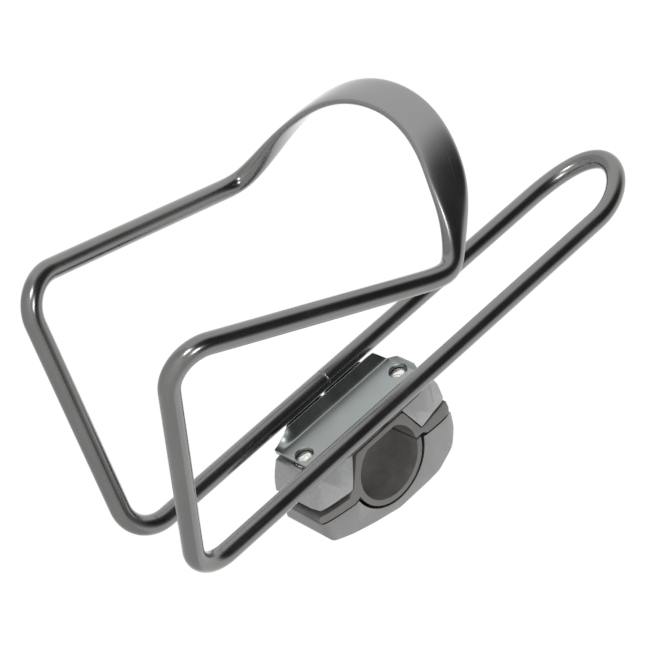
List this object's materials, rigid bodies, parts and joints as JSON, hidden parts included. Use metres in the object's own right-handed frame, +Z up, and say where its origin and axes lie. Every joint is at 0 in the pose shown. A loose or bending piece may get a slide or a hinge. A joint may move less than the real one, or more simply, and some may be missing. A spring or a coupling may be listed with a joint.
{
  "type": "water bottle cage",
  "caption": "Bent-rod bicycle bottle cage with a pressed neck band, on a clamp with a rubber liner that grips a handlebar.",
  "frame": {"origin": "centre of the clamp's bore, on the handlebar's axis and on the cage's mid-plane", "axes": "+X along the handlebar, across the cage; +Z up along the bottle's axis; the bottle and the open front are on the -Y side, the clamp on the +Y side"},
  "size_m": [0.092, 0.1182, 0.1945],
  "materials": {
    "rod": "glossy dark anodised",
    "plate": "satin",
    "clamp": "satin",
    "back": "satin",
    "liner": "matt",
    "steel": "plated",
    "weld": "satin"
  },
  "bodies": {
    "cage": {"cage_rod": "rod", "mounting_plate": "plate", "weld_left_low": "weld", "weld_left_high": "weld", "weld_right_low": "weld", "weld_right_high": "weld", "clamp_upper_half": "clamp", "nut_low": "steel", "nut_high": "steel"},
    "lower_half": {"clamp_lower_half": "back", "washer_low": "steel", "washer_high": "steel"},
    "liner": {"liner": "liner"},
    "bolt_low": {"bolt_low": "steel"},
    "bolt_high": {"bolt_high": "steel"}
  },
  "joints": [
    {"name": "clamp_open", "type": "slide", "parent": "cage", "child": "lower_half", "axis": [0, 1, 0], "range_m": [0, 0.0048]},
    {"name": "liner_float", "type": "slide", "parent": "cage", "child": "liner", "axis": [0, 1, 0], "range_m": [0, 0.0024]},
    {"name": "bolt_low_turn", "type": "hinge", "parent": "lower_half", "child": "bolt_low", "pos_m": [0, 0.01, -0.0198], "axis": [0, 1, 0], "range_deg": [0, 2160]},
    {"name": "bolt_high_turn", "type": "hinge", "parent": "lower_half", "child": "bolt_high", "pos_m": [0, 0.01, 0.0198], "axis": [0, 1, 0], "range_deg": [0, 2160]}
  ],
  "couplings": [
    {"joint": "liner_float", "follows": "clamp_open", "ratio": 0.5},
    {"joint": "bolt_low_turn", "follows": "clamp_open", "rad_per_m": 7854},
    {"joint": "bolt_high_turn", "follows": "clamp_open", "rad_per_m": 7854}
  ]
}
